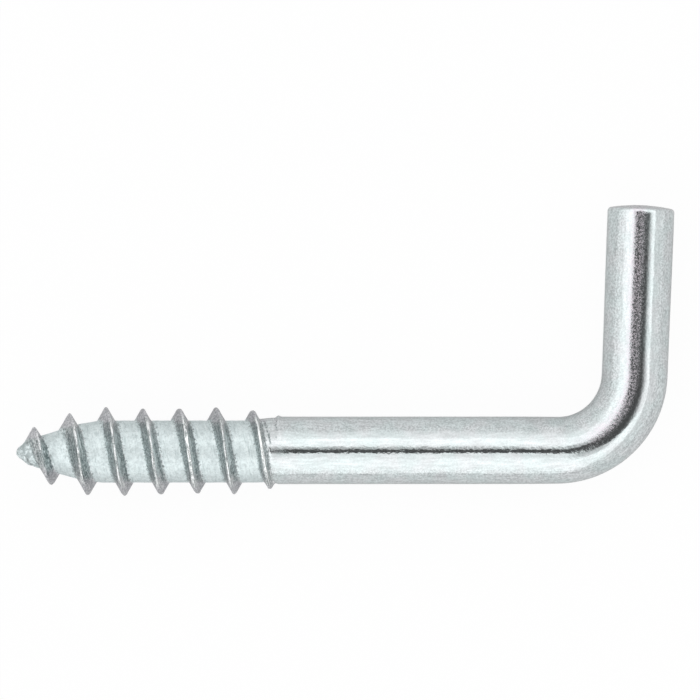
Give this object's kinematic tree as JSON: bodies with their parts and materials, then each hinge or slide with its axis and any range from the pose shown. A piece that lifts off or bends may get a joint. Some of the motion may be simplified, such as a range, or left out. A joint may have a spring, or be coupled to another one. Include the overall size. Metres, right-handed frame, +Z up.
{
  "type": "screw hook",
  "caption": "Square bend screw hook: zinc-plated steel wire with a wood-screw thread and gimlet point at one end and a short upright arm at the other.",
  "frame": {"origin": "middle of the floor side of the hook's box, as it lies at rest on its arm and its thread", "axes": "+X from the point towards the bend, +Y the way the arm points, +Z up from the floor"},
  "size_m": [0.0584, 0.0258, 0.0081],
  "materials": {
    "zinc_plate": "bright zinc plate, satin, matte between the turns of the thread"
  },
  "bodies": {
    "root": {"screw_hook": "zinc_plate"}
  },
  "joints": []
}
